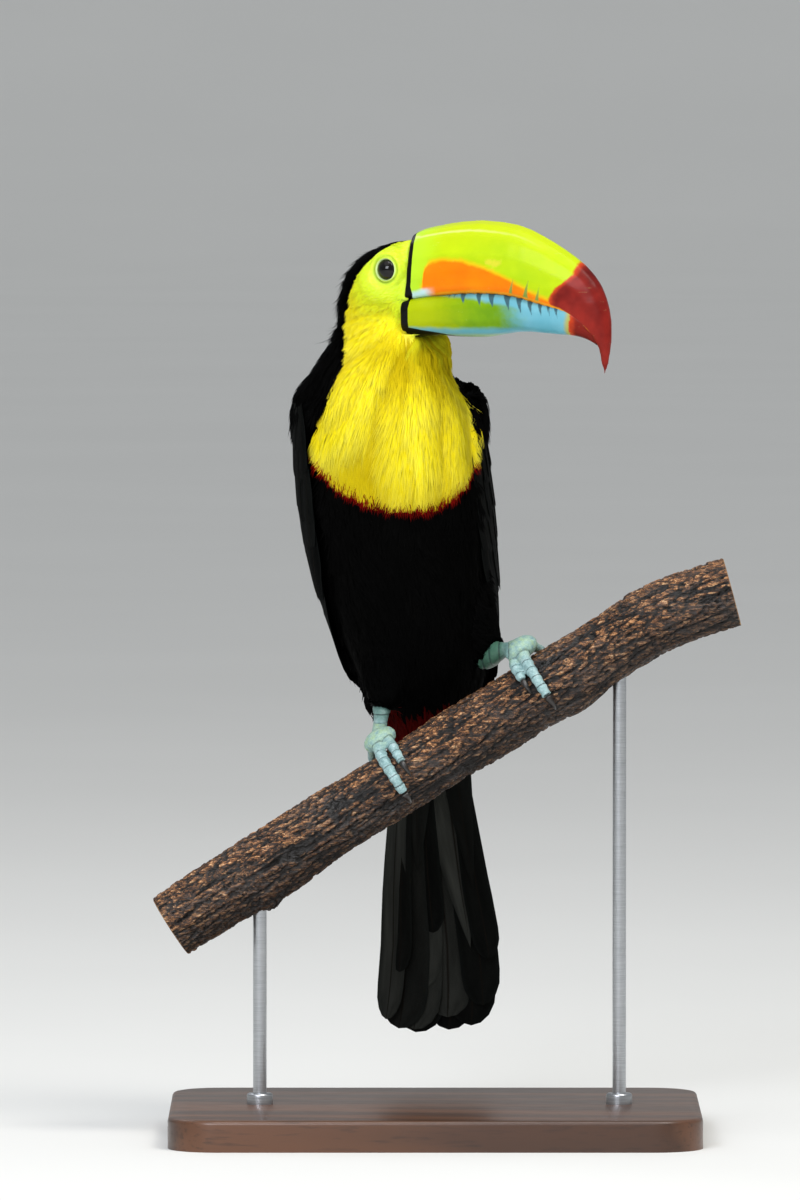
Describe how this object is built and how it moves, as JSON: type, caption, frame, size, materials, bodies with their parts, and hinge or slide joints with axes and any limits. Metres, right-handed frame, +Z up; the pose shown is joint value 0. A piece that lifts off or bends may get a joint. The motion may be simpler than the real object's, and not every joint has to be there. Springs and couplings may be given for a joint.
{
  "type": "keel-billed toucan model on a perch",
  "caption": "Life-size still model of a keel-billed toucan gripping a cut length of branch, its head turned to its left, on a flat base with upright rods.",
  "frame": {"origin": "centre of the underside of the stand's base", "axes": "+Z up, +X level towards the bird's left and the branch's higher end, +Y level behind the bird"},
  "size_m": [0.2621, 0.1872, 0.4084],
  "materials": {
    "feathers_black": "matte black feathers, faintly glossy on wings and tail",
    "feathers_yellow": "bright yellow silky breast and throat feathers",
    "face_skin": "yellow-green face feathers and bare skin round the eye",
    "bill_upper": "glossy keratin: yellow-green with an orange patch and a dark red tip",
    "bill_lower": "glossy keratin: yellow-green to pale blue with a dark red tip",
    "eye": "wet dark brown eye",
    "leg_skin": "pale turquoise scaled skin",
    "claw_horn": "dark brown horn",
    "bark": "rough ridged brown bark",
    "base_wood": "satin stained wood",
    "rod_steel": "brushed steel"
  },
  "bodies": {
    "root": {"trunk": "feathers_black", "neck": "feathers_yellow", "head": "face_skin", "wing_left": "feathers_black", "wing_right": "feathers_black", "tail": "feathers_black", "thigh_left": "feathers_black", "thigh_right": "feathers_black", "upper_bill": "bill_upper", "lower_bill": "bill_lower", "eye_left": "eye", "eye_right": "eye", "tarsus_left": "leg_skin", "tarsus_right": "leg_skin", "foot_left": "leg_skin", "foot_right": "leg_skin", "claw_left_long": "claw_horn", "claw_left_short": "claw_horn", "claw_left_outer": "claw_horn", "claw_left_inner": "claw_horn", "claw_right_long": "claw_horn", "claw_right_short": "claw_horn", "claw_right_outer": "claw_horn", "claw_right_inner": "claw_horn", "perch": "bark", "stand_base": "base_wood", "stand_rod_left": "rod_steel", "stand_rod_right": "rod_steel"}
  },
  "joints": []
}
